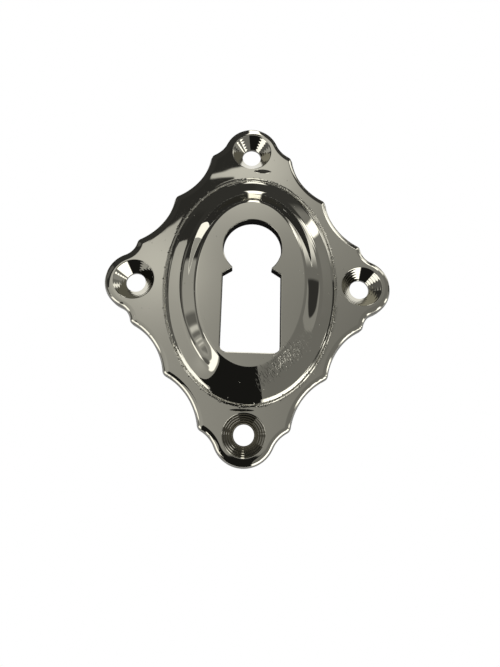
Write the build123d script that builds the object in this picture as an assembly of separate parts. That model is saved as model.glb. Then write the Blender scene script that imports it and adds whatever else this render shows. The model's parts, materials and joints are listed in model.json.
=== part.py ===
"""Keyhole escutcheon: one cast plate that covers the keyhole of a drawer or door.

The plate lies on its back. Its back face is at z = 0, its front looks along +z, and the
key's round hole is towards +y. The origin is the middle of the back face.
"""
import os
from math import atan2, cos, radians, sin, sqrt, tan

from build123d import *

# Driving dimensions, in millimetres and degrees

# Flange: the flat lozenge with a screw at each tip
flange_thickness = 2.4
bevel_width = 0.9
bevel_drop = 0.7
edge_radius = 1.0
screw_span_x = 40.2
screw_span_y = 52.3
lobe_radius = 5.3
neck_angle = 67.0
ear_reach = 7.7
upper_ear_setback = 0.7
side_ear_setback = -0.2
scallop_depth = 1.45
corner_land = 0.05

# Screw holes, for a countersunk wood screw with a 3.5 mm shank
screw_hole_radius = 1.75
countersink_radius = 3.6
countersink_angle = 90.0

# Boss: a raised oval with a moulded border, from its foot inwards and upwards.
# The casting is a little uneven: the boss sits low and to the right between the screws,
# and its border is slightly wider at the two ends than at the sides.
boss_width = 29.8
boss_length = 41.3
boss_shift_x = 0.45
boss_shift_y = -0.6
end_stretch = 1.05
riser_width = 0.6
riser_height = 0.42
bullnose_radius = 0.4
bullnose_steps = 2
shoulder_width = 1.7
shoulder_rise = 0.15
ogee_angle = 45.0
cove_radius = 2.35
slope_width = 1.05
nose_radius = 1.35
ogee_steps = 4

# Hollow back under the boss, with sloping walls
top_wall = 1.9
hollow_inset = 1.5
hollow_slope_width = 3.6

# Keyhole: a round part for the key's pin over a slot for its bit
keyhole_shift_x = 0.57
pin_axis_y = 5.65
pin_radius = 5.05
neck_width = 6.5
slot_width = 10.0
slot_top_drop = 4.98
slot_end_drop = 18.58
slot_corner_radius = 1.2
ear_tip_radius = 0.2

# Sizes that follow from the ones above
riser_slope = atan2(riser_height, riser_width)
shoulder_slope = atan2(shoulder_rise, shoulder_width)
ogee_slope = radians(ogee_angle)
bullnose_blend = bullnose_radius * tan((riser_slope - shoulder_slope) / 2)
cove_inset = riser_width + shoulder_width
cove_level = flange_thickness + riser_height + shoulder_rise
edge_blend = edge_radius * tan(atan2(bevel_drop, bevel_width) / 2)
corner_radius = bevel_width + edge_blend + corner_land


def oval(inset, level):
    """An ellipse that lies inset within the foot of the boss, at a height above the back."""
    ellipse = Ellipse(boss_width / 2 - inset, boss_length / 2 - inset * end_stretch)
    return Pos(boss_shift_x, boss_shift_y, level) * ellipse


def corners_at(face, points):
    """The corners of a face that lie at the given points or their mirror images."""
    places = [(abs(point.X), abs(point.Y)) for point in points]

    def is_wanted(corner):
        return any(abs(abs(corner.X) - x) + abs(abs(corner.Y) - y) < 1e-4 for x, y in places)

    return face.vertices().filter_by(is_wanted)


def plate_outline():
    """The lozenge: a lobe round each screw, and two scallops between sharp ears on each side."""
    upper_screw = Vector(0, screw_span_y / 2)
    side_screw = Vector(screw_span_x / 2, 0)
    upper_ear = upper_screw + Vector(ear_reach, -upper_ear_setback)
    side_ear = side_screw + Vector(-side_ear_setback, ear_reach)
    cusp = (upper_ear + side_ear) / 2

    upper_lobe = CenterArc(upper_screw, lobe_radius, 90, -neck_angle)
    upper_neck = TangentArc(upper_lobe @ 1, upper_ear, tangent=upper_lobe % 1)
    upper_scallop = SagittaArc(upper_ear, cusp, -scallop_depth)
    side_scallop = SagittaArc(cusp, side_ear, -scallop_depth)
    side_lobe = CenterArc(side_screw, lobe_radius, 0, neck_angle)
    side_neck = TangentArc(side_lobe @ 1, side_ear, tangent=side_lobe % 1)

    quarter = Curve() + [upper_lobe, upper_neck, upper_scallop, side_scallop, side_neck, side_lobe]
    half = quarter + mirror(quarter, about=Plane.YZ)
    face = make_face(half + mirror(half, about=Plane.XZ))
    return fillet(corners_at(face, [upper_ear, cusp, side_ear]), corner_radius)


def flange():
    """The flat plate, its front edge bevelled and the bevel blended into the front by polishing."""
    plate = extrude(plate_outline(), flange_thickness)
    front = plate.faces().sort_by(Axis.Z)[-1]
    plate = chamfer(front.outer_wire().edges(), bevel_width, bevel_drop, reference=front)
    front = plate.faces().sort_by(Axis.Z)[-1]
    return fillet(front.outer_wire().edges(), edge_radius)


def turn(start, radius, first_slope, last_slope, steps):
    """An arc of the border's section, as pairs of inset and level: its slope goes from first to last."""
    side = 1 if last_slope > first_slope else -1
    points = []
    for step in range(steps + 1):
        slope = first_slope + (last_slope - first_slope) * step / steps
        inset = start[0] + side * radius * (sin(slope) - sin(first_slope))
        points.append((inset, start[1] + side * radius * (cos(first_slope) - cos(slope))))
    return points


def border():
    """The moulding's section: riser, bullnose, shoulder, then an ogee of cove, slope and nose."""
    foot = (0, flange_thickness)
    riser_end = (
        riser_width - bullnose_blend * cos(riser_slope),
        flange_thickness + riser_height - bullnose_blend * sin(riser_slope),
    )
    bullnose = turn(riser_end, bullnose_radius, riser_slope, shoulder_slope, bullnose_steps)
    cove = turn((cove_inset, cove_level), cove_radius, shoulder_slope, ogee_slope, ogee_steps)
    slope_end = (cove[-1][0] + slope_width, cove[-1][1] + slope_width * tan(ogee_slope))
    nose = turn(slope_end, nose_radius, ogee_slope, 0, ogee_steps)
    return [foot] + bullnose + cove + nose


border_points = border()
top_level = border_points[-1][1]
hollow_level = top_level - top_wall


def boss():
    """The raised oval, lofted through one oval for each point of its border's section."""
    return loft([oval(inset, level) for inset, level in border_points], ruled=True)


def hollow():
    """The recess in the back, which leaves a wall of even thickness behind the flat top."""
    return loft([oval(hollow_inset, 0), oval(hollow_inset + hollow_slope_width, hollow_level)], ruled=True)


def keyhole():
    """The opening for the key, right through the boss."""
    ear_drop = sqrt(pin_radius**2 - (neck_width / 2) ** 2)
    neck = Vector(neck_width / 2, pin_axis_y - ear_drop)
    slot_top = Vector(slot_width / 2, pin_axis_y - slot_top_drop)
    slot_end = Vector(slot_width / 2, pin_axis_y - slot_end_drop)

    right_side = [neck, slot_top, slot_end]
    left_side = [Vector(-point.X, point.Y) for point in reversed(right_side)]
    slot = make_face(Polyline(*right_side, *left_side, close=True))
    opening = slot + Pos(0, pin_axis_y) * Circle(pin_radius)
    opening = fillet(opening.vertices().group_by(Axis.Y)[0], slot_corner_radius)
    ear_tips = opening.vertices().filter_by(lambda corner: abs(corner.Y - neck.Y) < 1e-4)
    return Pos(keyhole_shift_x, 0) * extrude(fillet(ear_tips, ear_tip_radius), top_level)


def screw_holes():
    """Four countersunk holes, one in the middle of each lobe."""
    places = [
        (0, screw_span_y / 2, flange_thickness),
        (0, -screw_span_y / 2, flange_thickness),
        (screw_span_x / 2, 0, flange_thickness),
        (-screw_span_x / 2, 0, flange_thickness),
    ]
    hole = CounterSinkHole(
        screw_hole_radius,
        countersink_radius,
        depth=flange_thickness,
        counter_sink_angle=countersink_angle,
        mode=Mode.PRIVATE,
    )
    return [Pos(*place) * hole for place in places]


escutcheon_plate = flange() + boss() - hollow() - keyhole() - screw_holes()

os.makedirs("parts", exist_ok=True)
export_step(escutcheon_plate, "parts/escutcheon_plate.step")
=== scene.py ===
"""Looks of a keyhole escutcheon: one cast plate, polished and nickel plated, on a white table.

The plate is modelled in millimetres and scaled to metres at the end, in the same frame as the
solid that it stands for: its back on z = 0, its front along +z, the keyhole's round end at +y.
"""

import json
import logging
import math
from dataclasses import dataclass

import bpy
from mathutils import Matrix, Vector

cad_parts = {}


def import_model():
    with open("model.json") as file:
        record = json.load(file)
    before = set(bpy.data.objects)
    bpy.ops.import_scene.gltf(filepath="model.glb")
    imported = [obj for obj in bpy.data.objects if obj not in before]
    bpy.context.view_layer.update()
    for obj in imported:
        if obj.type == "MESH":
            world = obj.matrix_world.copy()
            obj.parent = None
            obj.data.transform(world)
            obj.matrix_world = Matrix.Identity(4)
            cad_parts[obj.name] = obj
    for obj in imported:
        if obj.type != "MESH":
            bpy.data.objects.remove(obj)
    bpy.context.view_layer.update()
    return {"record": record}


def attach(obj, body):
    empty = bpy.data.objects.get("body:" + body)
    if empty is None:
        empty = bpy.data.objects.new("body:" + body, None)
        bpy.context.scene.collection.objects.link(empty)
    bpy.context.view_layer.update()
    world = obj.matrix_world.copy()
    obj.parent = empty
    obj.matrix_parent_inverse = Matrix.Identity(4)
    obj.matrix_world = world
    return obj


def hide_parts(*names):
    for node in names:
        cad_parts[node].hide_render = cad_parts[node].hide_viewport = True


LOG = logging.getLogger("escutcheon")
NODE = "escutcheon_plate"

# One millimetre in metres, then lengths in millimetres
MM = 0.001
MERGE_MM = 1e-3
FLAT_MM = 1e-3
LAND_MM = 0.04

Piece = bpy.types.Object
Socket = bpy.types.NodeSocket
Value = float | tuple[float, ...] | Socket
Point = tuple[float, float]
Profile = list[Point]


def start_edit() -> None:
    """Opens edit mode on the active piece, with everything selected."""
    bpy.ops.object.mode_set(mode="EDIT")
    bpy.ops.mesh.select_mode(type="VERT")
    bpy.ops.mesh.select_all(action="SELECT")


def end_edit() -> None:
    """Goes back to object mode."""
    bpy.ops.object.mode_set(mode="OBJECT")


def draw_chain(name: str, points: list[Vector]) -> Piece:
    """Draws a chain of vertices, as a section that is later swept.

    Args:
        name: name of the new piece.
        points: corners of the chain, in millimetres.

    Returns:
        The piece, in edit mode with the whole chain selected.
    """
    bpy.ops.object.select_all(action="DESELECT")
    bpy.ops.mesh.primitive_plane_add(size=1.0)
    piece = bpy.context.object
    piece.name = name
    start_edit()
    bpy.ops.mesh.merge(type="CENTER")
    bpy.ops.transform.translate(value=points[0])
    for before, after in zip(points, points[1:]):
        bpy.ops.mesh.extrude_vertices_move(TRANSFORM_OT_translate={"value": after - before})
    bpy.ops.mesh.select_all(action="SELECT")
    return piece


@dataclass
class Arc:
    """One arc of an outline, from where the last one ends. Its angle is in radians."""

    centre: Vector
    clockwise: float
    steps: int


def sweep(moves: list[Arc | Vector]) -> None:
    """Sweeps the selected section along an outline; its last copy stays selected.

    Args:
        moves: arcs round upright axes and straight steps, in their order.
    """
    for move in moves:
        if isinstance(move, Arc):
            centre = (move.centre.x, move.centre.y, 0.0)
            bpy.ops.mesh.spin(steps=move.steps, angle=move.clockwise, center=centre, axis=(0.0, 0.0, 1.0))
        else:
            bpy.ops.mesh.extrude_region_move(TRANSFORM_OT_translate={"value": (move.x, move.y, 0.0)})


@dataclass
class Ring:
    """One oval of a stack: its centre, and its half width and half length."""

    place: Vector
    half: tuple[float, ...]


def draw_circle(name: str, steps: int) -> Piece:
    """Draws a circle of radius 1 round the origin, as a loop of edges.

    Args:
        name: name of the new piece.
        steps: number of corners.

    Returns:
        The piece, in object mode.
    """
    bpy.ops.object.select_all(action="DESELECT")
    bpy.ops.mesh.primitive_circle_add(vertices=steps, radius=1.0, fill_type="NOTHING")
    piece = bpy.context.object
    piece.name = name
    return piece


def stack_rings(name: str, steps: int, rings: list[Ring]) -> Piece:
    """Draws an oval and extrudes it from ring to ring.

    Args:
        name: name of the new piece.
        steps: number of corners of each oval.
        rings: the ovals, in their order.

    Returns:
        The piece, in object mode.
    """
    piece = draw_circle(name, steps)
    start_edit()
    before = Ring(Vector((0.0, 0.0, 0.0)), (1.0, 1.0))
    for number, ring in enumerate(rings):
        if number:
            bpy.ops.mesh.extrude_edges_move()
        growth = (ring.half[0] / before.half[0], ring.half[1] / before.half[1], 1.0)
        bpy.ops.transform.resize(value=growth, center_override=before.place)
        bpy.ops.transform.translate(value=ring.place - before.place)
        before = ring
    end_edit()
    return piece


def mirror_piece(piece: Piece, across_x: bool, across_y: bool) -> None:
    """Completes a half or a quarter with its mirror images and merges the seams.

    Args:
        piece: the piece, in object mode.
        across_x: whether the left half is added.
        across_y: whether the lower half is added.
    """
    mirror = piece.modifiers.new("halves", "MIRROR")
    mirror.use_axis = (across_x, across_y, False)
    mirror.use_mirror_merge = True
    mirror.merge_threshold = MERGE_MM
    bpy.ops.object.modifier_apply(modifier=mirror.name)


def arc_points(centre: Point, radius: float, start: float, end: float, steps: int) -> Profile:
    """Points on an arc of a profile.

    Args:
        centre: inset and level of the arc's centre.
        radius: radius of the arc.
        start: first angle in degrees, from the inset axis towards the level axis.
        end: last angle in degrees.
        steps: number of segments.

    Returns:
        Pairs of inset and level, both ends included.
    """
    points = []
    for step in range(steps + 1):
        angle = math.radians(start + (end - start) * step / steps)
        points.append((centre[0] + radius * math.cos(angle), centre[1] + radius * math.sin(angle)))
    return points


def turn_points(start: Point, radius: float, first: float, last: float, steps: int) -> Profile:
    """Points on an arc of a profile along which the slope changes evenly.

    Args:
        start: inset and level of the first point.
        radius: radius of the arc.
        first: slope at the start, in radians.
        last: slope at the end; a hollow arc gets steeper and a round one flatter.
        steps: number of segments.

    Returns:
        Pairs of inset and level, both ends included.
    """
    side = 1.0 if last > first else -1.0
    points = []
    for step in range(steps + 1):
        slope = first + (last - first) * step / steps
        inset = start[0] + side * radius * (math.sin(slope) - math.sin(first))
        points.append((inset, start[1] + side * radius * (math.cos(first) - math.cos(slope))))
    return points


def line_points(start: Point, end: Point, steps: int) -> Profile:
    """Points between two ends of a straight stretch of a profile, without the ends.

    Args:
        start: inset and level of one end.
        end: inset and level of the other.
        steps: number of segments.

    Returns:
        Pairs of inset and level.
    """
    return [
        (start[0] + (end[0] - start[0]) * step / steps, start[1] + (end[1] - start[1]) * step / steps)
        for step in range(1, steps)
    ]


def smooth_step(share: float) -> float:
    """A share that is kept between 0 and 1 and leaves both ends smoothly."""
    kept = min(1.0, max(0.0, share))
    return kept * kept * (3 - 2 * kept)


@dataclass
class Flange:
    """The flat lozenge: lobes round the screws, scalloped sides and a softened edge. In mm and degrees."""

    span_x: float
    span_y: float
    thickness: float = 2.4
    wall_level: float = 1.0
    lean_width: float = 0.3
    lean_angle: float = 68.0
    brow_radius: float = 0.12
    facet_angle: float = 30.0
    facet_width: float = 0.22
    bevel_angle: float = 21.0
    bevel_width: float = 0.17
    edge_radius: float = 1.2
    wear_depth: float = 0.25
    wear_shift: tuple[float, float] = (0.26, -0.26)
    wear_middle: float = 0.5
    wear_reach: float = 0.1
    back_break: float = 0.12
    lobe_radius: float = 5.3
    neck_angle: float = 67.0
    ear_reach: float = 7.7
    upper_ear_setback: float = 0.7
    side_ear_setback: float = -0.2
    scallop_depth: float = 1.45
    corner_land: float = 0.05
    arc_step: float = 0.22
    arc_turn: float = 5.0
    least_steps: int = 4
    wall_steps: int = 3
    lean_steps: int = 4
    brow_steps: int = 4
    roll_steps: int = 10

    @property
    def edge_width(self) -> float:
        """Width of the whole edge, from the outline to the flat front."""
        return self.section()[-2][0]

    @property
    def corner_radius(self) -> float:
        """Radius of the ears and cusps, seen from the front."""
        return self.edge_width + self.corner_land

    def section(self) -> Profile:
        """The edge's section, from the back to the flat front.

        Returns:
            Pairs of inset from the outline and level above the back.
        """
        lean = math.radians(self.lean_angle)
        facet = math.radians(self.facet_angle)
        bevel = math.radians(self.bevel_angle)
        middle = self.back_break / 3
        back = [(self.back_break, 0.0), (middle, middle), (0.0, self.back_break)]
        lean_start = (0.0, self.wall_level)
        lean_end = (self.lean_width, self.wall_level + self.lean_width * math.tan(lean))
        rim = turn_points(lean_end, self.brow_radius, lean, facet, self.brow_steps)
        facet_end = (rim[-1][0] + self.facet_width, rim[-1][1] + self.facet_width * math.tan(facet))
        brow = rim + turn_points(facet_end, self.brow_radius, facet, bevel, self.brow_steps)
        bevel_end = (brow[-1][0] + self.bevel_width, brow[-1][1] + self.bevel_width * math.tan(bevel))
        edge = turn_points(bevel_end, self.edge_radius, bevel, 0.0, self.roll_steps)
        wall = line_points(back[-1], lean_start, self.wall_steps) + [lean_start]
        wall += line_points(lean_start, lean_end, self.lean_steps)
        upper = wall + brow + line_points(brow[-1], edge[0], self.wall_steps) + edge
        rise = self.thickness - edge[-1][1]
        lifted = [(inset, level + rise) for inset, level in upper]
        land = (edge[-1][0] + LAND_MM, self.thickness)
        return [(self.back_break + LAND_MM, 0.0)] + back + lifted + [land]

    def arcs(self) -> list[Arc]:
        """The arcs of the outline's upper right quarter, clockwise from the top.

        Returns:
            The arcs in their order, each from where the last one ends.
        """
        upper_screw = Vector((0.0, self.span_y / 2, 0.0))
        side_screw = Vector((self.span_x / 2, 0.0, 0.0))
        upper_ear = upper_screw + Vector((self.ear_reach, -self.upper_ear_setback, 0.0))
        side_ear = side_screw + Vector((-self.side_ear_setback, self.ear_reach, 0.0))
        cusp = (upper_ear + side_ear) / 2

        upper_turn = math.radians(90 - self.neck_angle)
        side_turn = math.radians(self.neck_angle)
        centres = [
            upper_screw,
            self.neck_centre(upper_screw, upper_turn, upper_ear),
            self.scallop_centre(upper_ear, cusp),
            self.scallop_centre(cusp, side_ear),
            self.neck_centre(side_screw, side_turn, side_ear),
            side_screw,
        ]
        lobe_end = self.on_lobe(upper_screw, upper_turn)
        lobe_start = self.on_lobe(side_screw, side_turn)

        stops = [Vector((0.0, self.span_y / 2 + self.lobe_radius, 0.0)), lobe_end]
        turns = [centres[0]]
        for number, corner in enumerate((upper_ear, cusp, side_ear)):
            before, after = centres[number + 1], centres[number + 2]
            middle = self.corner_centre(before, after, corner)
            turns += [before, middle]
            stops += [self.touch(before, middle, corner), self.touch(after, middle, corner)]
        turns += [centres[4], centres[5]]
        stops += [lobe_start, Vector((self.span_x / 2 + self.lobe_radius, 0.0, 0.0))]
        return [self.arc(turn, start, end) for turn, start, end in zip(turns, stops, stops[1:])]

    def arc(self, centre: Vector, start: Vector, end: Vector) -> Arc:
        """The shorter arc round a centre from one point to another, in even steps.

        Args:
            centre: centre of the arc.
            start: its first point.
            end: its last point.

        Returns:
            The arc, in steps of about arc_step or arc_turn, whichever is finer.
        """
        before = start - centre
        after = end - centre
        clockwise = math.atan2(after.x * before.y - after.y * before.x, before.dot(after))
        length = max(before.length, self.corner_radius) * abs(clockwise)
        fine = math.degrees(abs(clockwise)) / self.arc_turn
        return Arc(centre, clockwise, max(self.least_steps, round(length / self.arc_step), round(fine)))

    def on_lobe(self, screw: Vector, angle: float) -> Vector:
        """The place on a lobe at an angle round its screw, in radians."""
        return screw + self.lobe_radius * Vector((math.cos(angle), math.sin(angle), 0.0))

    def neck_centre(self, screw: Vector, angle: float, ear: Vector) -> Vector:
        """Centre of the neck's arc, which leaves the lobe smoothly and ends at the ear.

        Args:
            screw: middle of the lobe.
            angle: where the neck leaves the lobe, in radians.
            ear: the sharp ear.

        Returns:
            The centre of the neck's arc.
        """
        start = self.on_lobe(screw, angle)
        outwards = Vector((math.cos(angle), math.sin(angle), 0.0))
        gap = start - ear
        return start - outwards * gap.length_squared / (2 * gap.dot(outwards))

    def scallop_centre(self, start: Vector, end: Vector) -> Vector:
        """Centre of a scallop's arc, which lies outside the plate.

        Args:
            start: one sharp end of the scallop.
            end: the other, clockwise from it.

        Returns:
            The centre of the scallop's arc.
        """
        chord = end - start
        radius = (chord.length_squared / 4 + self.scallop_depth**2) / (2 * self.scallop_depth)
        outwards = Vector((-chord.y, chord.x, 0.0)).normalized()
        return (start + end) / 2 + outwards * (radius - self.scallop_depth)

    def corner_centre(self, before: Vector, after: Vector, corner: Vector) -> Vector:
        """Centre of a rounded ear or cusp, as far from both hollow arcs as its radius.

        Args:
            before: centre of the hollow arc that ends at the corner.
            after: centre of the hollow arc that starts there.
            corner: the sharp corner.

        Returns:
            The centre of the corner's own arc, inside the plate.
        """
        reach_before = (corner - before).length + self.corner_radius
        reach_after = (corner - after).length + self.corner_radius
        apart = after - before
        along = (apart.length_squared + reach_before**2 - reach_after**2) / (2 * apart.length)
        inwards = Vector((apart.y, -apart.x, 0.0)).normalized()
        return before + apart.normalized() * along + inwards * math.sqrt(reach_before**2 - along**2)

    def touch(self, hollow: Vector, middle: Vector, corner: Vector) -> Vector:
        """Point where a rounded corner meets a hollow arc."""
        return hollow + (middle - hollow).normalized() * (corner - hollow).length

    def build(self) -> Piece:
        """Sweeps the edge's section round the outline.

        Returns:
            The whole edge, in object mode.
        """
        top = self.span_y / 2 + self.lobe_radius
        chain = [Vector((0.0, top - inset, level)) for inset, level in self.section()]
        piece = draw_chain("flange_edge", chain)
        sweep(self.arcs())
        end_edit()
        mirror_piece(piece, across_x=True, across_y=True)
        self.wear(piece)
        return piece

    def wear(self, piece: Piece) -> None:
        """Draws the flat front away from the upper left edge, which the polishing rounded the most.

        Args:
            piece: the whole edge, in object mode.
        """
        low = self.thickness - self.wear_depth
        for corner in piece.data.vertices:
            height = max(0.0, (corner.co.z - low) / self.wear_depth)
            side = self.wear_middle + corner.co.y / self.span_y - corner.co.x / self.span_x
            share = height * smooth_step(side + self.wear_reach)
            corner.co.x += share * self.wear_shift[0]
            corner.co.y += share * self.wear_shift[1]


@dataclass
class Boss:
    """The raised oval with its moulded border, and the hollow behind it. Sizes in mm, angles in degrees."""

    foot_level: float
    width: float = 29.8
    length: float = 41.3
    shift_x: float = 0.45
    shift_y: float = -0.6
    end_stretch: float = 1.05
    foot_shift: tuple[float, float] = (-0.06, 0.06)
    right_ease: float = 0.12
    lip_angle: float = 33.0
    lip_width: float = 0.16
    lip_radius: float = 0.07
    groove_angle: float = 38.0
    groove_width: float = 0.08
    foot_radius: float = 0.1
    riser_width: float = 0.6
    riser_height: float = 0.42
    bullnose_radius: float = 0.4
    shoulder_width: float = 1.7
    shoulder_rise: float = 0.15
    ogee_angle: float = 41.3
    brow_angle: float = 35.5
    cove_radius: float = 1.638
    swell_radius: float = 13.066
    nose_radius: float = 1.0
    worn_ends: tuple[float, float] = (-146.0, -6.5)
    worn_fades: tuple[float, float] = (20.0, 24.0)
    worn_round: float = 0.12
    top_wall: float = 1.9
    hollow_inset: float = 1.5
    hollow_slope_width: float = 3.6
    round_steps: int = 320
    lip_steps: int = 4
    line_steps: int = 3
    crest_steps: int = 8
    bullnose_steps: int = 10
    shoulder_steps: int = 8
    swell_steps: int = 5
    ogee_steps: int = 16

    @property
    def riser_slope(self) -> float:
        """Slope of the riser, in radians."""
        return math.atan2(self.riser_height, self.riser_width)

    @property
    def shoulder_slope(self) -> float:
        """Slope of the shoulder, in radians."""
        return math.atan2(self.shoulder_rise, self.shoulder_width)

    @property
    def shoulder_end(self) -> Point:
        """Inset and level of the place where the shoulder meets the ogee."""
        level = self.foot_level + self.riser_height + self.shoulder_rise
        return (self.riser_width + self.shoulder_width, level)

    @property
    def top_level(self) -> float:
        """Level of the flat top."""
        return self.section()[-1][1]

    @property
    def section_width(self) -> float:
        """Width of the whole border."""
        return self.section()[-1][0]

    @property
    def hollow_level(self) -> float:
        """Level of the hollow's floor, behind the flat top."""
        return self.top_level - self.top_wall

    def section(self) -> Profile:
        """The moulding's section, from the flange inwards to the flat top."""
        return self.foot() + self.shoulder() + self.ogee()

    def foot(self) -> Profile:
        """The thin lip of plating round the boss, and the tight groove between it and the riser.

        Returns:
            Pairs of inset from the boss's foot and level.
        """
        lip = math.radians(self.lip_angle)
        groove = math.radians(-self.groove_angle)
        riser = self.riser_slope
        rise = turn_points((0.0, self.foot_level), self.lip_radius, 0.0, lip, self.lip_steps)
        lip_end = (rise[-1][0] + self.lip_width, rise[-1][1] + self.lip_width * math.tan(lip))
        crest = turn_points(lip_end, self.lip_radius, lip, groove, self.crest_steps)
        fall_end = (crest[-1][0] + self.groove_width, crest[-1][1] + self.groove_width * math.tan(groove))
        hollow = turn_points(fall_end, self.foot_radius, groove, riser, self.crest_steps)
        outline = rise + line_points(rise[-1], lip_end, self.line_steps) + crest + hollow
        shift = (hollow[-1][1] - self.foot_level) / math.tan(riser) - hollow[-1][0]
        placed = [(inset + shift, level) for inset, level in outline]
        return [(shift - LAND_MM, self.foot_level)] + placed

    def shoulder(self) -> Profile:
        """The riser's rounded upper edge and the almost flat shoulder behind it.

        Returns:
            Pairs of inset from the boss's foot and level.
        """
        riser = self.riser_slope
        blend = self.bullnose_radius * math.tan((riser - self.shoulder_slope) / 2)
        start = (
            self.riser_width - blend * math.cos(riser),
            self.foot_level + self.riser_height - blend * math.sin(riser),
        )
        bullnose = turn_points(start, self.bullnose_radius, riser, self.shoulder_slope, self.bullnose_steps)
        flat = line_points(bullnose[-1], self.shoulder_end, self.shoulder_steps)
        return bullnose + flat + [self.shoulder_end]

    def ogee(self) -> Profile:
        """The S-shaped rise to the flat top: a cove, a slope that swells a little, and a nose.

        Returns:
            Pairs of inset from the boss's foot and level.
        """
        brow = math.radians(self.brow_angle)
        steep = math.radians(self.ogee_angle)
        cove = turn_points(self.shoulder_end, self.cove_radius, self.shoulder_slope, brow, self.ogee_steps)
        lower = turn_points(cove[-1], self.swell_radius, brow, steep, self.swell_steps)
        upper = turn_points(lower[-1], self.swell_radius, steep, brow, self.swell_steps)
        nose = turn_points(upper[-1], self.nose_radius, brow, 0.0, self.ogee_steps)
        land = (nose[-1][0] + LAND_MM, nose[-1][1])
        return cove[1:] + lower[1:] + upper[1:] + nose[1:] + [land]

    def foot_share(self, inset: float) -> float:
        """How much of the foot's shift an oval takes: all outside the riser, none behind it."""
        return min(1.0, max(0.0, 1 - inset / self.riser_width))

    def ease_share(self, inset: float) -> float:
        """How far the right side is drawn in at an oval: outwards below the ogee, inwards above it.

        Args:
            inset: inset of the oval from the boss's foot.

        Returns:
            A share between -1 and 1.
        """
        start = self.riser_width + self.shoulder_width
        if inset < start:
            return -max(0.0, (inset - self.riser_width) / self.shoulder_width)
        return 2 * min(1.0, (inset - start) / (self.section_width - start)) - 1

    def worn_level(self, inset: float) -> float:
        """Level of the border where it is worn to one even slope from the riser to the flat top.

        Args:
            inset: inset from the boss's foot.

        Returns:
            The level above the back.
        """
        low = self.foot_level + self.riser_height
        share = (inset - self.riser_width) / (self.section_width - self.riser_width)
        pitch = 2 / (2 - self.worn_round)
        over = max(0.0, share - 1 + self.worn_round)
        return low + (self.top_level - low) * (pitch * share - pitch * over**2 / (2 * self.worn_round))

    def worn_share(self, inset: float, x: float, y: float) -> float:
        """How far the border is worn at a place of an oval, by the side that the place faces.

        Args:
            inset: inset of the oval from the boss's foot.
            x: the place's x.
            y: the place's y.

        Returns:
            A share between 0 and 1.
        """
        half_x = self.width / 2 - inset
        half_y = self.length / 2 - inset * self.end_stretch
        facing = math.degrees(math.atan2((y - self.shift_y) / half_y**2, (x - self.shift_x) / half_x**2))
        left = smooth_step((facing - self.worn_ends[0]) / self.worn_fades[0])
        right = smooth_step((self.worn_ends[1] - facing) / self.worn_fades[1])
        return left * right

    def wear(self, piece: Piece, section: Profile) -> None:
        """Wears the lower right of the border smooth.

        Args:
            piece: the stack of ovals.
            section: the section that it was made along.
        """
        insets = [inset for inset, _ in section]
        levels = [self.worn_level(inset) for inset in insets]
        for corner in piece.data.vertices:
            ring = corner.index // self.round_steps
            if not self.riser_width < insets[ring] < self.section_width - LAND_MM:
                continue
            share = self.worn_share(insets[ring], corner.co.x, corner.co.y)
            corner.co.z += share * (levels[ring] - section[ring][1])

    def oval(self, inset: float, level: float) -> Ring:
        """The boss's oval at an inset from its foot, with the foot's shift and the right side's ease.

        Args:
            inset: inset from the boss's foot.
            level: level above the back.

        Returns:
            The oval.
        """
        foot = self.foot_share(inset)
        ease = self.right_ease * self.ease_share(inset)
        x = self.shift_x + foot * self.foot_shift[0] - ease / 2
        y = self.shift_y + foot * self.foot_shift[1]
        half = Vector((self.width / 2 - inset - ease / 2, self.length / 2 - inset * self.end_stretch))
        return Ring(Vector((x, y, level)), tuple(half))

    def draw_ovals(self, name: str, section: Profile) -> Piece:
        """Stacks the boss's ovals along a section of insets and levels."""
        return stack_rings(name, self.round_steps, [self.oval(inset, level) for inset, level in section])

    def build(self) -> list[Piece]:
        """Makes the moulded border and the hollow's sloping wall.

        Returns:
            The two pieces, in object mode.
        """
        slope_end = self.hollow_inset + self.hollow_slope_width
        hollow = [(self.hollow_inset, 0.0), (slope_end, self.hollow_level)]
        section = self.section()
        border = self.draw_ovals("boss_border", section)
        self.wear(border, section)
        return [border, self.draw_ovals("hollow_wall", hollow)]


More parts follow.
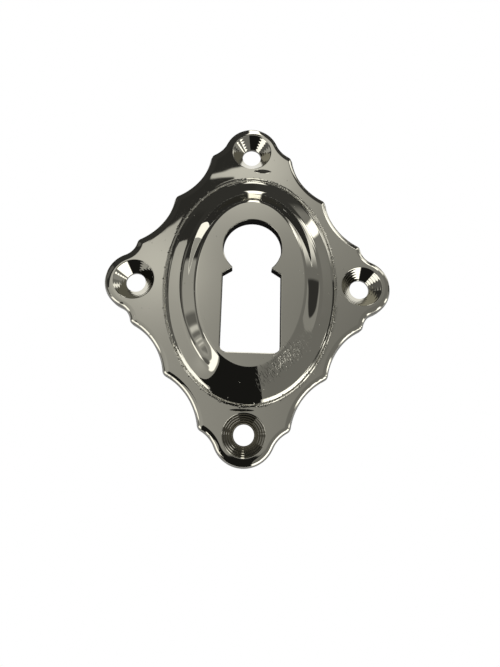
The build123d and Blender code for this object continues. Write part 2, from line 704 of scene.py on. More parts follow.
@dataclass
class Keyhole:
    """The opening for the key: a round part over a slot, with its edges broken. Sizes in mm."""

    top_level: float
    hollow_level: float
    shift_x: float = 0.57
    pin_axis_y: float = 5.65
    pin_radius: float = 5.05
    neck_width: float = 6.5
    slot_width: float = 10.0
    slot_top_drop: float = 4.98
    slot_end_drop: float = 18.58
    slot_corner_radius: float = 1.2
    shoulder_corner_radius: float = 0.15
    ear_tip_radius: float = 0.2
    edge_break: float = 0.15
    back_break: float = 0.08
    pin_steps: int = 72
    ear_tip_steps: int = 8
    shoulder_corner_steps: int = 6
    slot_corner_steps: int = 10
    edge_steps: int = 6
    wall_steps: int = 3

    def section(self) -> Profile:
        """The wall's section, from the flat top down to the hollow: distance into the metal and level.

        Returns:
            Pairs of distance and level.
        """
        centre = (self.edge_break, self.top_level - self.edge_break)
        edge = arc_points(centre, self.edge_break, 90, 180, self.edge_steps)
        back = [(0.0, self.hollow_level + self.back_break), (self.back_break, self.hollow_level)]
        land = (self.edge_break + LAND_MM, self.top_level)
        return [land] + edge + line_points(edge[-1], back[0], self.wall_steps) + back

    def ear_centre(self, pin: Vector, neck: Vector, brow: Vector) -> Vector:
        """Centre of an ear's rounded tip, which touches the round part and the slot's upper edge.

        Args:
            pin: middle of the round part.
            neck: the sharp tip of the ear.
            brow: direction of the slot's upper edge, away from the ear.

        Returns:
            The centre of the tip's arc, in the metal.
        """
        outwards = Vector((-brow.y, brow.x, 0.0))
        foot = neck + outwards * self.ear_tip_radius - pin
        reach = self.pin_radius + self.ear_tip_radius
        along = -foot.dot(brow) + math.sqrt(foot.dot(brow) ** 2 - foot.length_squared + reach**2)
        return pin + foot + brow * along

    def path(self) -> list[Arc | Vector]:
        """The outline of the opening's right half, clockwise from the top.

        Returns:
            Arcs and straight steps, each from where the last one ends.
        """
        pin = Vector((0.0, self.pin_axis_y, 0.0))
        drop = math.sqrt(self.pin_radius**2 - (self.neck_width / 2) ** 2)
        neck = Vector((self.neck_width / 2, self.pin_axis_y - drop, 0.0))
        slot_top = Vector((self.slot_width / 2, self.pin_axis_y - self.slot_top_drop, 0.0))
        slot_end_y = self.pin_axis_y - self.slot_end_drop

        brow = (slot_top - neck).normalized()
        outwards = Vector((-brow.y, brow.x, 0.0))
        tip = self.ear_centre(pin, neck, brow)
        tip_angle = math.atan2((tip - pin).x, (tip - pin).y)
        tip_turn = tip_angle - math.atan2(outwards.x, outwards.y)

        corner_turn = math.atan2(brow.x, -brow.y)
        corner_blend = self.shoulder_corner_radius * math.tan(corner_turn / 2)
        brow_start = tip - outwards * self.ear_tip_radius
        brow_end = slot_top - brow * corner_blend
        corner = brow_end - outwards * self.shoulder_corner_radius
        side_start = Vector((slot_top.x, slot_top.y - corner_blend, 0.0))
        side_end = Vector((slot_top.x, slot_end_y + self.slot_corner_radius, 0.0))
        foot_corner = side_end - Vector((self.slot_corner_radius, 0.0, 0.0))
        return [
            Arc(pin, tip_angle, self.pin_steps),
            Arc(tip, -tip_turn, self.ear_tip_steps),
            brow_end - brow_start,
            Arc(corner, corner_turn, self.shoulder_corner_steps),
            side_end - side_start,
            Arc(foot_corner, math.pi / 2, self.slot_corner_steps),
            Vector((-foot_corner.x, 0.0, 0.0)),
        ]

    def build(self) -> Piece:
        """Sweeps the wall's section round the right half of the opening and mirrors it.

        Returns:
            The whole wall, in object mode.
        """
        start = self.pin_axis_y + self.pin_radius
        chain = [Vector((0.0, start + depth, level)) for depth, level in self.section()]
        piece = draw_chain("keyhole_wall", chain)
        sweep(self.path())
        end_edit()
        mirror_piece(piece, across_x=True, across_y=False)
        start_edit()
        bpy.ops.transform.translate(value=(self.shift_x, 0.0, 0.0))
        end_edit()
        return piece


@dataclass
class Countersink:
    """A screw hole with its countersink and the fine rings that the drill left in it. In mm and degrees."""

    place: Vector
    level: float
    bore_radius: float
    ring_height: float = 0.008
    rim_radius: float = 3.6
    rim_break: float = 0.12
    cone_angle: float = 45.0
    ring_pitch: float = 0.36
    back_break: float = 0.1
    round_steps: int = 128
    ring_steps: int = 4
    rim_steps: int = 4
    bore_steps: int = 3

    def section(self) -> Profile:
        """The hole's section, from the flat front down to the back: radius and level.

        Returns:
            Pairs of radius and level.
        """
        slope = math.radians(self.cone_angle)
        blend = self.rim_break * math.tan(slope / 2)
        centre = (self.rim_radius + blend, self.level - self.rim_break)
        rim = arc_points(centre, self.rim_break, 90, 90 + self.cone_angle, self.rim_steps)
        drop = (self.rim_radius - self.bore_radius) * math.tan(slope)
        cone_foot = (self.bore_radius, self.level - drop)
        back = [(self.bore_radius, self.back_break), (self.bore_radius + self.back_break, 0.0)]
        land = (rim[0][0] + LAND_MM, self.level)
        steps = round((self.rim_radius - self.bore_radius) / self.ring_pitch) * self.ring_steps
        cone = []
        for number, (radius, level) in enumerate(line_points(rim[-1], cone_foot, steps)):
            rise = self.ring_height * math.sin(2 * math.pi * (number + 1) / self.ring_steps)
            cone.append((radius - rise * math.sin(slope), level + rise * math.cos(slope)))
        bore = line_points(cone_foot, back[0], self.bore_steps)
        return [land] + rim + cone + [cone_foot] + bore + back

    def build(self) -> Piece:
        """Stacks circles along the section.

        Returns:
            The hole's wall, in object mode.
        """
        rings = [
            Ring(Vector((self.place.x, self.place.y, level)), (radius, radius))
            for radius, level in self.section()
        ]
        return stack_rings("screw_hole", self.round_steps, rings)


@dataclass
class Scoop:
    """A leaf-shaped dip that the polishing wheel left in the flange. In mm and degrees."""

    place: Vector
    level: float
    length: float
    height: float
    outwards: float
    tilt: float = 3.6
    rim: float = 0.04
    point: float = 0.6
    round_steps: int = 64
    rings: int = 3
    flat_rings: int = 2

    def build(self) -> Piece:
        """Draws a leaf and lowers its floor, which slopes away from the boss.

        Returns:
            The dip, in object mode.
        """
        piece = draw_circle("flange_scoop", self.round_steps)
        for corner in piece.data.vertices:
            corner.co.y *= abs(corner.co.y) ** self.point
        start_edit()
        half = (self.length / 2 + self.rim, self.height / 2 + self.rim, 1.0)
        bpy.ops.transform.resize(value=half, center_override=(0.0, 0.0, 0.0))
        shrink = (1 - self.rim / half[0], 1 - self.rim / half[1], 1.0)
        for _ in range(self.rings):
            bpy.ops.mesh.extrude_edges_move()
            bpy.ops.transform.resize(value=shrink, center_override=(0.0, 0.0, 0.0))
        bpy.ops.mesh.edge_face_add()
        end_edit()
        fall = math.tan(math.radians(self.tilt))
        for corner in piece.data.vertices[self.flat_rings * self.round_steps:]:
            corner.co.z -= fall * (self.height / 2 + self.outwards * corner.co.y)
        start_edit()
        bpy.ops.transform.translate(value=(self.place.x, self.place.y, self.level))
        end_edit()
        return piece


class Nodes:
    """Adds nodes to a node tree, with plain values or other nodes' outputs as their inputs."""

    def __init__(self, tree: bpy.types.NodeTree) -> None:
        """Keeps the node tree that the nodes go into."""
        self.tree = tree

    def feed(self, socket: Socket, value: Value) -> None:
        """Links an input to another node's output, or sets it to a plain value.

        Args:
            socket: the input.
            value: a plain value, or the output of another node.
        """
        if isinstance(value, Socket):
            self.tree.links.new(value, socket)
        else:
            socket.default_value = value

    def add(self, kind: str, inputs: dict[str | int, Value]) -> bpy.types.Node:
        """Adds a node and feeds its inputs.

        Args:
            kind: the node's type.
            inputs: values or outputs of other nodes, by the input's name or number.

        Returns:
            The new node.
        """
        node = self.tree.nodes.new(kind)
        for key, value in inputs.items():
            self.feed(node.inputs[key], value)
        return node

    def math(self, operation: str, *values: Value) -> Socket:
        """Adds a Math node.

        Args:
            operation: the node's operation.
            values: its inputs, in their order.

        Returns:
            The node's output.
        """
        node = self.tree.nodes.new("ShaderNodeMath")
        node.operation = operation
        for socket, value in zip(node.inputs, values):
            self.feed(socket, value)
        return node.outputs[0]

    def split(self, place: Socket) -> list[Socket]:
        """The x, y and z of a place or direction."""
        return list(self.add("ShaderNodeSeparateXYZ", {"Vector": place}).outputs)

    def ramp(self, value: Socket, start: float, end: float) -> Socket:
        """A smooth step of a value from 0 at the start to 1 at the end.

        Args:
            value: the value.
            start: where the step starts.
            end: where it ends, on either side.

        Returns:
            The step.
        """
        node = self.add("ShaderNodeMapRange", {"Value": value, "From Min": start, "From Max": end})
        node.interpolation_type = "SMOOTHSTEP"
        return node.outputs[0]

    def band(self, value: Socket, limits: tuple[float, float], soft: float) -> Socket:
        """Mask of the values between two limits, with soft edges.

        Args:
            value: the value.
            limits: the lower and the upper limit.
            soft: width of each edge.

        Returns:
            The mask.
        """
        first = self.ramp(value, limits[0] - soft / 2, limits[0] + soft / 2)
        last = self.ramp(value, limits[1] + soft / 2, limits[1] - soft / 2)
        return self.math("MULTIPLY", first, last)

    def blend(self, share: Socket, first: float, last: float) -> Socket:
        """A value that goes from the first to the last as the share goes from 0 to 1."""
        return self.math("MULTIPLY_ADD", share, last - first, first)

    def oval(self, x: Socket, y: Socket, middle: tuple[float, float], half: tuple[float, float]) -> Socket:
        """Square of the distance from a middle, in half widths and half lengths of an oval.

        Args:
            x: x of the place.
            y: y of the place.
            middle: x and y of the oval's middle.
            half: half the oval's width and half its length.

        Returns:
            The square, which is 1 on the oval itself.
        """
        across = self.math("DIVIDE", self.math("SUBTRACT", x, middle[0]), half[0])
        along = self.math("DIVIDE", self.math("SUBTRACT", y, middle[1]), half[1])
        return self.math("ADD", self.math("POWER", across, 2.0), self.math("POWER", along, 2.0))

    def bell(self, square: Socket) -> Socket:
        """A value that falls smoothly from 1 as the square of a distance grows."""
        return self.math("EXPONENT", self.math("MULTIPLY", square, -1.0))

    def noise(self, place: Socket, scale: float, detail: float = 2.0) -> Socket:
        """Smooth noise about 0.5, with a scale in waves per unit of the place."""
        inputs = {"Vector": place, "Scale": scale, "Detail": detail}
        return self.add("ShaderNodeTexNoise", inputs).outputs[0]

    def dots(self, place: Socket, spacing: float, radius: float) -> Socket:
        """Mask of many scattered round dots."""
        cells = self.add("ShaderNodeTexVoronoi", {"Vector": place, "Scale": 1 / spacing})
        return self.ramp(self.math("MULTIPLY", cells.outputs["Distance"], spacing), radius, 0.0)

    def mapped(self, place: Socket, scale: tuple[float, float, float], turn: float = 0.0) -> Socket:
        """A place that is turned about z, in degrees, and scaled along each axis."""
        inputs = {"Vector": place, "Rotation": (0.0, 0.0, math.radians(turn)), "Scale": scale}
        return self.add("ShaderNodeMapping", inputs).outputs[0]

    def colour_blend(self, share: Socket, first: Value, last: Value) -> Socket:
        """A colour that goes from the first to the last as the share goes from 0 to 1.

        Args:
            share: the share of the last colour.
            first: the first colour.
            last: the last colour.

        Returns:
            The blended colour.
        """
        node = self.tree.nodes.new("ShaderNodeMix")
        node.data_type = "RGBA"
        for number, value in ((0, share), (6, first), (7, last)):
            self.feed(node.inputs[number], value)
        return node.outputs[2]


class Surface(Nodes):
    """Adds nodes to a new material."""

    def __init__(self, name: str) -> None:
        """Makes the material.

        Args:
            name: name of the material.
        """
        self.material = bpy.data.materials.new(name)
        self.material.use_nodes = True
        super().__init__(self.material.node_tree)
        self.shader = self.tree.nodes["Principled BSDF"]

    def dress(self, piece: Piece) -> None:
        """Puts the material on a piece, as its only one."""
        piece.data.materials.clear()
        piece.data.materials.append(self.material)

    def show(self, shader: Socket) -> None:
        """Shows another shader than the main one."""
        self.feed(self.tree.nodes["Material Output"].inputs["Surface"], shader)


class Plating(Surface):
    """Adds nodes to a new material that goes by the place on the piece."""

    def __init__(self, name: str) -> None:
        """Works out the place in millimetres, and how far the surface faces the front.

        Args:
            name: name of the material.
        """
        super().__init__(name)
        source = self.add("ShaderNodeTexCoord", {})
        self.place = self.mapped(source.outputs["Object"], (1 / MM, 1 / MM, 1 / MM))
        self.x, self.y, self.level = self.split(self.place)
        self.facing = self.split(source.outputs["Normal"])[2]


@dataclass(frozen=True)
class NickelFinish:
    """Nickel plate on cast metal: a warm mirror with dull walls and a grainy groove. The walls' dark colour
    is painted shade, and the keyhole's wall is painted near black as shade. In mm and degrees.
    """

    colour: tuple[float, ...] = (0.645, 0.623, 0.525, 1.0)
    # Painted shade: the dark colour of the walls that face sideways.
    wall_shade_colour: tuple[float, ...] = (0.16, 0.155, 0.14, 1.0)
    wall_facing: tuple[float, float] = (0.56, 0.46)
    # Painted shade: the near-black colour of the keyhole's wall.
    keyhole_shade_colour: tuple[float, ...] = (0.03, 0.029, 0.027, 1.0)
    keyhole_levels: tuple[float, float] = (2.7, 2.9)
    grime_colour: tuple[float, ...] = (0.36, 0.345, 0.29, 1.0)
    roughness: float = 0.02
    wall_roughness: float = 0.42
    wave_length: float = 4.5
    wave_detail: float = 1.0
    wave_height: float = 0.006
    grain_length: float = 0.22
    grain_detail: float = 3.0
    grain_height: float = 0.09
    grain_width: float = 0.26
    grain_patch_scale: float = 0.35
    grain_patch: tuple[float, float] = (0.35, 0.6)
    bead_spacing: float = 0.62
    bead_radius: float = 0.22
    bead_height: float = 0.22
    pit_spacing: float = 1.1
    pit_radius: float = 0.09
    pit_depth: float = 0.05
    pit_patch_scale: float = 0.21
    pit_patch: tuple[float, float] = (0.52, 0.62)
    scuff_place: tuple[float, float] = (6.7, -13.5)
    scuff_reach: tuple[float, float] = (3.8, 1.3)
    scuff_turn: float = -43.0
    scuff_strokes: tuple[float, float, float] = (4.2, 0.75, 1.0)
    scuff_marks: tuple[float, float] = (0.5, 0.64)
    scuff_height: float = 0.06

    def dress(self, piece: Piece, boss: Boss, grimy: Countersink) -> None:
        """Plates a piece.

        Args:
            piece: the piece to plate.
            boss: its raised oval, whose foot the grain follows.
            grimy: its screw hole that has grime in it.
        """
        nodes = Plating("polished_nickel")
        walls = nodes.ramp(nodes.facing, *self.wall_facing)
        # Painted shade: the keyhole's wall is made near black and non-metallic, for the shaded hollow and
        # table under the plate that it mirrors.
        keyhole = nodes.math("MULTIPLY", walls, nodes.ramp(nodes.level, *self.keyhole_levels))
        # Walls that face sideways: their roughness is the dull as-cast finish, and their dark colour is
        # painted shade for the shaded table and hollow that they mirror.
        colour = nodes.colour_blend(walls, self.colour, self.wall_shade_colour)
        colour = nodes.colour_blend(keyhole, colour, self.keyhole_shade_colour)
        colour = nodes.colour_blend(self.grime(nodes, grimy), colour, self.grime_colour)
        bump = {"Strength": 1.0, "Distance": MM, "Height": self.height(nodes, boss)}
        inputs = {
            "Base Color": colour,
            "Metallic": nodes.math("SUBTRACT", 1.0, keyhole),
            "Specular IOR Level": 0.0,
            "Roughness": nodes.blend(walls, self.roughness, self.wall_roughness),
            "Normal": nodes.add("ShaderNodeBump", bump).outputs[0],
        }
        for name, value in inputs.items():
            nodes.feed(nodes.shader.inputs[name], value)
        nodes.dress(piece)

    def height(self, nodes: Plating, boss: Boss) -> Socket:
        """Height of all the fine unevenness of the plating.

        Args:
            nodes: adds the nodes to the material.
            boss: the raised oval, whose foot the grain follows.

        Returns:
            The height, in millimetres.
        """
        groove = self.groove(nodes, boss)
        waves = nodes.noise(nodes.place, 1 / self.wave_length, self.wave_detail)
        height = nodes.math("MULTIPLY", waves, self.wave_height)
        details = (
            self.grain(nodes, groove),
            self.beads(nodes, groove),
            self.pits(nodes),
            self.scuffs(nodes),
        )
        for detail in details:
            height = nodes.math("ADD", height, detail)
        return height

    def grime(self, nodes: Plating, hole: Countersink) -> Socket:
        """Mask of a screw hole, up to its rim.

        Args:
            nodes: adds the nodes to the material.
            hole: the screw hole.

        Returns:
            The mask.
        """
        square = nodes.oval(nodes.x, nodes.y, hole.place.xy, (1.0, 1.0))
        return nodes.ramp(nodes.math("SQRT", square), hole.rim_radius, hole.rim_radius - 2 * hole.rim_break)

    def groove(self, nodes: Plating, boss: Boss) -> Socket:
        """Mask of the groove round the foot of the boss.

        Args:
            nodes: adds the nodes to the material.
            boss: the raised oval.

        Returns:
            The mask.
        """
        middle = (boss.shift_x, boss.shift_y)
        half = (boss.width / 2 + boss.lip_width, boss.length / 2 + boss.lip_width)
        reach = nodes.math("SQRT", nodes.oval(nodes.x, nodes.y, middle, half))
        steep = nodes.math("SQRT", nodes.oval(nodes.x, nodes.y, middle, (half[0] ** 2, half[1] ** 2)))
        slack = nodes.math("MULTIPLY", nodes.math("SUBTRACT", reach, 1.0), reach)
        outside = nodes.math("DIVIDE", slack, steep)
        return nodes.bell(nodes.math("POWER", nodes.math("DIVIDE", outside, self.grain_width), 2.0))

    def grain(self, nodes: Plating, groove: Socket) -> Socket:
        """Height of the casting's grain, which the polishing didn't reach in the groove.

        Args:
            nodes: adds the nodes to the material.
            groove: mask of the groove.

        Returns:
            The height, in millimetres.
        """
        fine = nodes.noise(nodes.place, 1 / self.grain_length, self.grain_detail)
        patchy = nodes.ramp(nodes.noise(nodes.place, self.grain_patch_scale), *self.grain_patch)
        share = nodes.math("MULTIPLY", groove, patchy)
        return nodes.math("MULTIPLY", nodes.math("MULTIPLY", fine, self.grain_height), share)

    def beads(self, nodes: Plating, groove: Socket) -> Socket:
        """Height of the small beads of plating along the groove."""
        bead = nodes.dots(nodes.place, self.bead_spacing, self.bead_radius)
        return nodes.math("MULTIPLY", nodes.math("MULTIPLY", bead, self.bead_height), groove)

    def pits(self, nodes: Plating) -> Socket:
        """Height of small scattered pits, which is negative.

        Args:
            nodes: adds the nodes to the material.

        Returns:
            The height, in millimetres.
        """
        pit = nodes.dots(nodes.place, self.pit_spacing, self.pit_radius)
        some = nodes.ramp(nodes.noise(nodes.place, self.pit_patch_scale), *self.pit_patch)
        return nodes.math("MULTIPLY", nodes.math("MULTIPLY", pit, -self.pit_depth), some)

    def scuffs(self, nodes: Plating) -> Socket:
        """Height of the fine scuffs on the border's lower right, which is negative.

        Args:
            nodes: adds the nodes to the material.

        Returns:
            The height, in millimetres.
        """
        turned = nodes.mapped(nodes.place, (1.0, 1.0, 1.0), self.scuff_turn)
        x, y, _ = nodes.split(turned)
        middle = Matrix.Rotation(math.radians(self.scuff_turn), 2) @ Vector(self.scuff_place)
        region = nodes.bell(nodes.oval(x, y, middle, self.scuff_reach))
        marks = nodes.ramp(nodes.noise(nodes.mapped(turned, self.scuff_strokes), 1.0), *self.scuff_marks)
        return nodes.math("MULTIPLY", nodes.math("MULTIPLY", marks, region), -self.scuff_height)


@dataclass
class Escutcheon:
    """The whole plate, assembled from its swept walls and closed with flat faces. In mm and degrees.

    The drill rings' heights are those of the upper, lower, right and left hole. Each scoop has its
    place, its length and its height.
    """

    record: dict
    ring_heights: tuple[float, ...] = (0.003, 0.015, 0.005, 0.003)
    upper_scoop: tuple[float, ...] = (2.1, 22.05, 3.4, 0.85)
    lower_scoop: tuple[float, ...] = (-0.45, -22.15, 4.2, 0.44)
    smooth_angle: float = 35.0

    def __post_init__(self) -> None:
        """Lays the parts out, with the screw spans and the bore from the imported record."""
        mounts = {mount["name"]: mount["dims"] for mount in self.record["mounts"]}
        bore = mounts["end_screws"]["hole_r_mm"]
        self.flange = Flange(mounts["side_screws"]["spacing_x_mm"], mounts["end_screws"]["spacing_y_mm"])
        self.boss = Boss(self.flange.thickness)
        self.keyhole = Keyhole(self.boss.top_level, self.boss.hollow_level)
        half_x = self.flange.span_x / 2
        half_y = self.flange.span_y / 2
        places = [(0.0, half_y), (0.0, -half_y), (half_x, 0.0), (-half_x, 0.0)]
        self.holes = [
            Countersink(Vector((x, y, 0.0)), self.flange.thickness, bore, height)
            for (x, y), height in zip(places, self.ring_heights)
        ]
        self.scoops = [
            Scoop(Vector((x, y, 0.0)), self.flange.thickness, length, height, math.copysign(1.0, y))
            for x, y, length, height in (self.upper_scoop, self.lower_scoop)
        ]

    def close_flat(self, level: float) -> None:
        """Fills the flat face between all the open edges at one level.

        Args:
            level: level of the face above the back.
        """
        bpy.ops.object.mode_set(mode="EDIT")
        bpy.ops.mesh.select_mode(type="EDGE")
        bpy.ops.mesh.select_all(action="DESELECT")
        bpy.ops.mesh.select_non_manifold(
            extend=False,
            use_wire=False,
            use_boundary=True,
            use_multi_face=False,
            use_non_contiguous=False,
            use_verts=False,
        )
        end_edit()
        mesh = bpy.context.object.data
        for edge in mesh.edges:
            if edge.select:
                edge.select = all(abs(mesh.vertices[end].co.z - level) < FLAT_MM for end in edge.vertices)
        for vertex in mesh.vertices:
            vertex.select = False
        for edge in mesh.edges:
            if edge.select:
                for end in edge.vertices:
                    mesh.vertices[end].select = True
        bpy.ops.object.mode_set(mode="EDIT")
        bpy.ops.mesh.fill(use_beauty=True)
        end_edit()

    def build(self) -> Piece:
        """Makes the plate as one closed mesh, in metres.

        Returns:
            The finished piece, with its material.
        """
        pieces = [self.flange.build(), *self.boss.build(), self.keyhole.build()]
        pieces += [detail.build() for detail in (*self.holes, *self.scoops)]
        bpy.ops.object.select_all(action="DESELECT")
        for piece in pieces:
            piece.select_set(True)
        bpy.context.view_layer.objects.active = pieces[0]
        bpy.ops.object.join()
        plate = bpy.context.object
        plate.name = "escutcheon_plate_polished"
        plate.data.name = plate.name
        for level in (0.0, self.flange.thickness, self.boss.hollow_level, self.boss.top_level):
            self.close_flat(level)
        start_edit()
        bpy.ops.mesh.remove_doubles(threshold=MERGE_MM)
        bpy.ops.mesh.normals_make_consistent(inside=False)
        bpy.ops.transform.resize(value=(MM, MM, MM), center_override=(0.0, 0.0, 0.0))
        end_edit()
        bpy.ops.object.shade_smooth_by_angle(angle=math.radians(self.smooth_angle))
        NickelFinish().dress(plate, self.boss, grimy=self.holes[1])
        return plate


@dataclass(frozen=True)
class Wall:
    """A part of the room between two azimuths and two angles from overhead, in degrees."""

    name: str
    azimuth: tuple[float, float]
    polar: tuple[float, float]
    light: float
    soft: tuple[float, float] = (2.0, 2.0)
    slant: float = 0.0


@dataclass(frozen=True)
class Glow:
    """A soft round light on the ceiling, in degrees: its place right of and behind overhead, its reach."""

    name: str
    place: tuple[float, float]
    reach: tuple[float, float]
    light: float


@dataclass(frozen=True)
class Edge:
    """A straight edge of an overhead card: the side it faces, in degrees, and how far out it lies."""

    facing: float
    distance: float
    soft: float = 0.006


@dataclass(frozen=True)
class Card:
    """A flat card overhead, kept inside all its edges."""

    name: str
    edges: tuple[Edge, ...]
    light: float


GLOWS = (
    Glow("ceiling_left", (-34.0, 14.0), (26.0, 26.0), 0.14),
    Glow("ceiling_upper_left", (-11.5, 21.5), (6.5, 6.5), 0.32),
    Glow("ceiling_top", (0.0, 35.0), (9.0, 7.0), 0.46),
    Glow("ceiling_right", (14.0, 25.0), (9.0, 7.0), 0.09),
    Glow("ceiling_far_left", (-30.0, 26.0), (12.0, 9.0), 0.14),
)
WALLS = (
    Wall("lower_left_window", (190.0, 216.0), (52.0, 68.0), 1.7, soft=(4.0, 3.0)),
    Wall("lower_left_window_end", (214.0, 228.0), (58.0, 67.0), 1.7, soft=(3.0, 2.0)),
    Wall("front_right_window", (-72.0, -21.0), (61.0, 77.0), 2.2, soft=(6.0, 2.0)),
    Wall("right_wall", (-2.0, 21.0), (66.0, 78.0), 0.32, soft=(4.0, 3.0)),
    Wall("right_window", (-9.0, -1.0), (67.0, 77.0), 2.0, soft=(3.0, 2.0)),
    Wall("right_window_low", (32.0, 44.0), (79.0, 92.0), 1.0, soft=(10.0, 2.0)),
    Wall("left_shelf", (138.0, 196.0), (56.0, 74.0), 0.13, soft=(3.0, 2.0), slant=0.35),
    Wall("right_lamp_low", (40.0, 54.0), (56.0, 84.0), 1.3, soft=(4.0, 3.0)),
    Wall("right_lamp", (49.0, 58.0), (41.0, 56.0), 2.3, soft=(2.0, 2.5)),
    Wall("right_lamp_high", (58.5, 63.0), (35.0, 38.5), 2.3, soft=(1.5, 1.0)),
    Wall("left_horizon", (150.0, 235.0), (75.0, 96.0), 0.42, soft=(3.0, 3.0)),
    Wall("left_dark_band", (177.0, 184.5), (76.0, 95.0), 0.16, soft=(4.0, 3.0)),
    Wall("left_dark_band_low", (189.0, 192.0), (76.0, 95.0), 0.2, soft=(2.0, 3.0)),
    Wall("left_light_band", (185.0, 188.0), (77.0, 90.0), 0.75, soft=(2.0, 3.0)),
    Wall("left_light_stripe", (194.0, 195.5), (77.0, 95.0), 0.75, soft=(1.2, 3.0)),
    Wall("left_light_stripe_low", (197.5, 199.0), (77.0, 95.0), 0.75, soft=(1.2, 3.0)),
    Wall("left_dark_stripe", (201.0, 204.0), (77.0, 95.0), 0.22, soft=(2.0, 3.0)),
    Wall("dark_right_end", (-80.0, 22.0), (78.0, 96.0), 0.04, soft=(2.0, 2.0)),
    Wall("dark_top_right", (58.0, 89.0), (39.0, 110.0), 0.05, soft=(1.5, 1.5)),
    Wall("dark_top_left", (88.0, 134.0), (37.0, 110.0), 0.042, soft=(1.5, 1.5)),
    Wall("window_top", (83.5, 93.0), (43.0, 110.0), 2.2, soft=(2.0, 2.0)),
)
CARDS = (
    Card("dark_upper_left", (Edge(131.0, 0.504), Edge(180.0, 0.095), Edge(28.0, 0.0)), 0.034),
    Card("dark_top", (Edge(112.0, 0.637), Edge(180.0, -0.03)), 0.034),
    Card("dark_below_top", (Edge(-80.7, -0.6446), Edge(90.0, 0.58), Edge(180.0, 0.036)), 0.034),
    Card("dark_front", (Edge(-90.0, 0.05), Edge(-45.0, -0.215), Edge(195.0, -0.07)), 0.012),
)


@dataclass(frozen=True)
class FloorCard:
    """A card on the table, out of the camera's sight, for the metal to mirror. Corners in mm."""

    name: str
    corners: tuple[tuple[float, float], ...]
    light: float


FLOOR_CARDS = (
    FloorCard("dark_floor_card", ((-20.0, 26.5), (38.0, 30.0), (-282.0, 328.0), (400.0, 180.0)), 0.03),
    FloorCard("grey_floor_card", ((-36.0, -6.0), (-33.0, 29.0), (-400.0, -50.0), (-305.0, 265.0)), 0.42),
    FloorCard("white_floor_card", ((-33.0, 29.0), (-20.0, 26.5), (-305.0, 265.0), (-282.0, 328.0)), 1.5),
)


class Sky(Nodes):
    """Draws the room's light into a world's node tree, by direction. Angles in degrees."""

    seam: tuple[float, float] = (270.0, -90.0)
    least_flat: float = 1e-4
    least_height: float = 0.02

    def __init__(self, tree: bpy.types.NodeTree) -> None:
        """Works out the angles of each direction once.

        Args:
            tree: the world's node tree.
        """
        super().__init__(tree)
        source = self.add("ShaderNodeTexCoord", {})
        x, y, z = self.split(source.outputs["Generated"])
        self.polar = self.math("DEGREES", self.math("ARCCOSINE", z))
        turn = self.math("DEGREES", self.math("ARCTAN2", y, x))
        self.azimuth = self.math("WRAP", turn, *self.seam)
        square = self.math("SUBTRACT", 1.0, self.math("POWER", z, 2.0))
        flat = self.math("MAXIMUM", self.math("SQRT", square), self.least_flat)
        self.right = self.math("MULTIPLY", self.polar, self.math("DIVIDE", x, flat))
        self.behind = self.math("MULTIPLY", self.polar, self.math("DIVIDE", y, flat))
        height = self.math("MAXIMUM", z, self.least_height)
        self.card_x = self.math("DIVIDE", x, height)
        self.card_y = self.math("DIVIDE", y, height)

    def ceiling(self, lights: tuple[float, float], edges: tuple[float, float]) -> Socket:
        """The plain grey ceiling, from its light on the right to its light on the left."""
        return self.blend(self.ramp(self.right, *edges), *lights)

    def add_glow(self, level: Socket, glow: Glow) -> Socket:
        """Adds a soft round light to the level so far.

        Args:
            level: the light so far.
            glow: the light to add.

        Returns:
            The light with the glow in it.
        """
        fall = self.bell(self.oval(self.right, self.behind, glow.place, glow.reach))
        lit = self.math("MULTIPLY_ADD", fall, glow.light, level)
        lit.node.label = glow.name
        return lit

    def wall_mask(self, wall: Wall) -> Socket:
        """Mask of a part of the room between two azimuths and two angles from overhead.

        Args:
            wall: the part of the room.

        Returns:
            The mask.
        """
        middle = (wall.azimuth[0] + wall.azimuth[1]) / 2
        lean = self.math("MULTIPLY", self.math("SUBTRACT", self.azimuth, middle), wall.slant)
        sides = self.band(self.azimuth, wall.azimuth, wall.soft[0])
        ends = self.band(self.math("SUBTRACT", self.polar, lean), wall.polar, wall.soft[1])
        return self.math("MULTIPLY", sides, ends)

    def card_mask(self, card: Card) -> Socket:
        """Mask of an overhead card, the product of its straight edges.

        Args:
            card: the card.

        Returns:
            The mask.
        """
        mask = 1.0
        for edge in card.edges:
            facing = math.radians(edge.facing)
            across = self.math("MULTIPLY", self.card_x, math.cos(facing))
            distance = self.math("MULTIPLY_ADD", self.card_y, math.sin(facing), across)
            side = self.ramp(distance, edge.distance - edge.soft / 2, edge.distance + edge.soft / 2)
            mask = self.math("MULTIPLY", mask, side)
        return mask

    def cover(self, level: Socket, mask: Socket, plan: Card | Wall) -> Socket:
        """Puts a part of the room with its own light over the level so far.

        Args:
            level: the light so far.
            mask: where the part lies.
            plan: the part of the room.

        Returns:
            The light with the part in it.
        """
        covered = self.math("MULTIPLY_ADD", mask, self.math("SUBTRACT", plan.light, level), level)
        covered.node.label = plan.name
        return covered


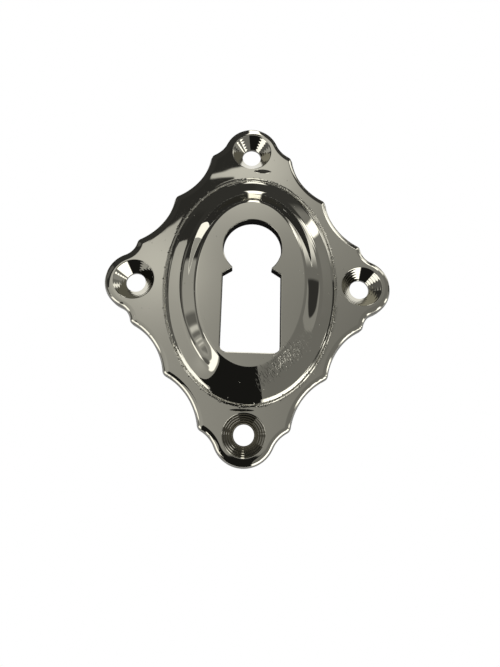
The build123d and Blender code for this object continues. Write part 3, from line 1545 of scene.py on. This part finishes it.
@dataclass
class Studio:
    """The white table, the light and the camera. Lengths in mm, angles in degrees."""

    aim_level: float = 1.9
    tilt: float = -12.92
    lean: float = 1.30
    roll: float = -1.53
    offset: tuple[float, float, float] = (-0.335, 8.84, -76.11)
    focal_pixels: float = 430.0
    long_side_pixels: float = 667.0
    sensor: float = 36.0
    clip: tuple[float, float] = (1.0, 100000.0)
    floor_half: float = 4000.0
    floor_colour: tuple[float, ...] = (0.9, 0.9, 0.9, 1.0)
    floor_roughness: float = 0.8
    card_level: float = 0.02
    ceiling_lights: tuple[float, float] = (0.205, 0.34)
    ceiling_edges: tuple[float, float] = (22.0, -8.0)

    def camera(self) -> None:
        """Sets the camera where the photograph was taken from."""
        turn = (
            Matrix.Rotation(math.radians(self.tilt), 3, "X")
            @ Matrix.Rotation(math.radians(self.lean), 3, "Y")
            @ Matrix.Rotation(math.radians(self.roll), 3, "Z")
        ).transposed()
        place = Vector((0.0, 0.0, self.aim_level)) - turn @ Vector(self.offset)
        data = bpy.data.cameras.new("camera")
        data.sensor_width = self.sensor
        data.lens = self.focal_pixels / self.long_side_pixels * self.sensor
        data.clip_start = self.clip[0] * MM
        data.clip_end = self.clip[1] * MM
        camera = bpy.data.objects.new("camera", data)
        camera.matrix_world = Matrix.Translation(place * MM) @ turn.to_4x4()
        bpy.context.scene.collection.objects.link(camera)
        bpy.context.scene.camera = camera

    def floor(self) -> None:
        """Lays the white table top, which the camera and the metal see as plain white."""
        bpy.ops.object.select_all(action="DESELECT")
        bpy.ops.mesh.primitive_plane_add(size=2 * self.floor_half * MM, location=(0.0, 0.0, 0.0))
        floor = bpy.context.object
        floor.name = "table_top"
        nodes = Surface("white_table")
        nodes.feed(nodes.shader.inputs["Base Color"], self.floor_colour)
        nodes.feed(nodes.shader.inputs["Roughness"], self.floor_roughness)
        glow = nodes.add("ShaderNodeEmission", {})
        path = nodes.add("ShaderNodeLightPath", {}).outputs
        direct = nodes.math("MAXIMUM", path["Is Camera Ray"], path["Is Glossy Ray"])
        seen = nodes.math("MAXIMUM", direct, path["Is Transmission Ray"])
        mix = nodes.add("ShaderNodeMixShader", {0: seen, 1: nodes.shader.outputs[0], 2: glow.outputs[0]})
        nodes.show(mix.outputs[0])
        nodes.dress(floor)

    def floor_card(self, plan: FloorCard) -> None:
        """Lays one card on the table.

        Args:
            plan: the card's name, corners and light.
        """
        bpy.ops.object.select_all(action="DESELECT")
        bpy.ops.mesh.primitive_plane_add(size=1.0)
        card = bpy.context.object
        card.name = plan.name
        for corner, (x, y) in zip(card.data.vertices, plan.corners):
            corner.co = Vector((x, y, self.card_level)) * MM
        nodes = Surface(plan.name)
        nodes.show(nodes.add("ShaderNodeEmission", {"Strength": plan.light}).outputs[0])
        nodes.dress(card)
        card.visible_camera = False
        card.visible_shadow = False

    def light(self) -> None:
        """Lights the plate from a grey room with a few bright and dark places in it."""
        world = bpy.data.worlds.new("studio")
        world.use_nodes = True
        bpy.context.scene.world = world
        sky = Sky(world.node_tree)
        level = sky.ceiling(self.ceiling_lights, self.ceiling_edges)
        for glow in GLOWS:
            level = sky.add_glow(level, glow)
        for card in CARDS:
            level = sky.cover(level, sky.card_mask(card), card)
        for wall in WALLS:
            level = sky.cover(level, sky.wall_mask(wall), wall)
        sky.feed(world.node_tree.nodes["Background"].inputs["Color"], level)

    def build(self) -> None:
        """Sets up the whole studio."""
        bpy.context.scene.view_settings.view_transform = "Standard"
        self.floor()
        for plan in FLOOR_CARDS:
            self.floor_card(plan)
        self.light()
        self.camera()


def main() -> None:
    """Builds the plate over its solid, then the studio."""
    logging.basicConfig(level=logging.INFO, format="%(name)s: %(message)s")
    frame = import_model()
    plate = Escutcheon(frame["record"]).build()
    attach(plate, "root")
    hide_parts(NODE)
    LOG.info("%s: %d faces", plate.name, len(plate.data.polygons))
    Studio().build()


if __name__ == "__main__":
    main()
